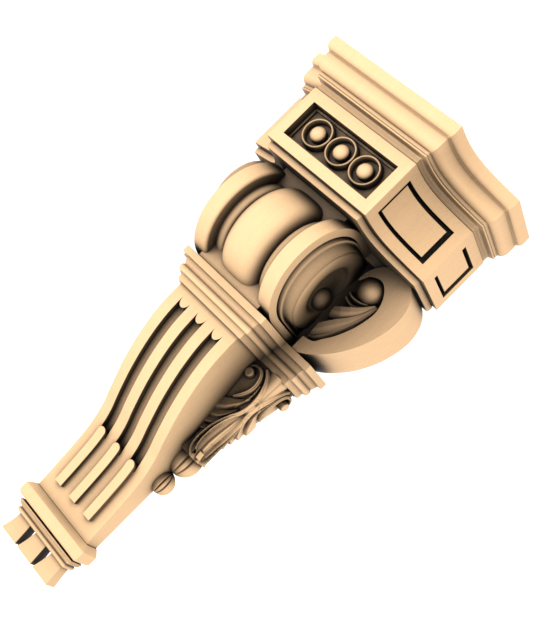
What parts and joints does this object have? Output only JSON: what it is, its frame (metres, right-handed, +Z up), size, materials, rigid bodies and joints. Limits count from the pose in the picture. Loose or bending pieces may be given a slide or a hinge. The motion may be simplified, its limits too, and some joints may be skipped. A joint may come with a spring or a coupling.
{
  "type": "corbel",
  "caption": "Carved timber wall corbel: stepped cornice over a panelled block, scroll roll with leaf wings, fluted tapering shaft with leaf brackets, and a moulded foot with drops.",
  "frame": {"origin": "on the flat back at the wall, on the centre line, 390 mm above the foot and behind the panelled block", "axes": "-Y out from the wall to the front, +Y into the wall, +X across to the right as seen facing the wall, +Z up"},
  "size_m": [0.222, 0.1208, 0.4548],
  "materials": {
    "timber": "matt, bare carved timber, light cream-brown"
  },
  "bodies": {
    "root": {"corbel": "timber"}
  },
  "joints": []
}
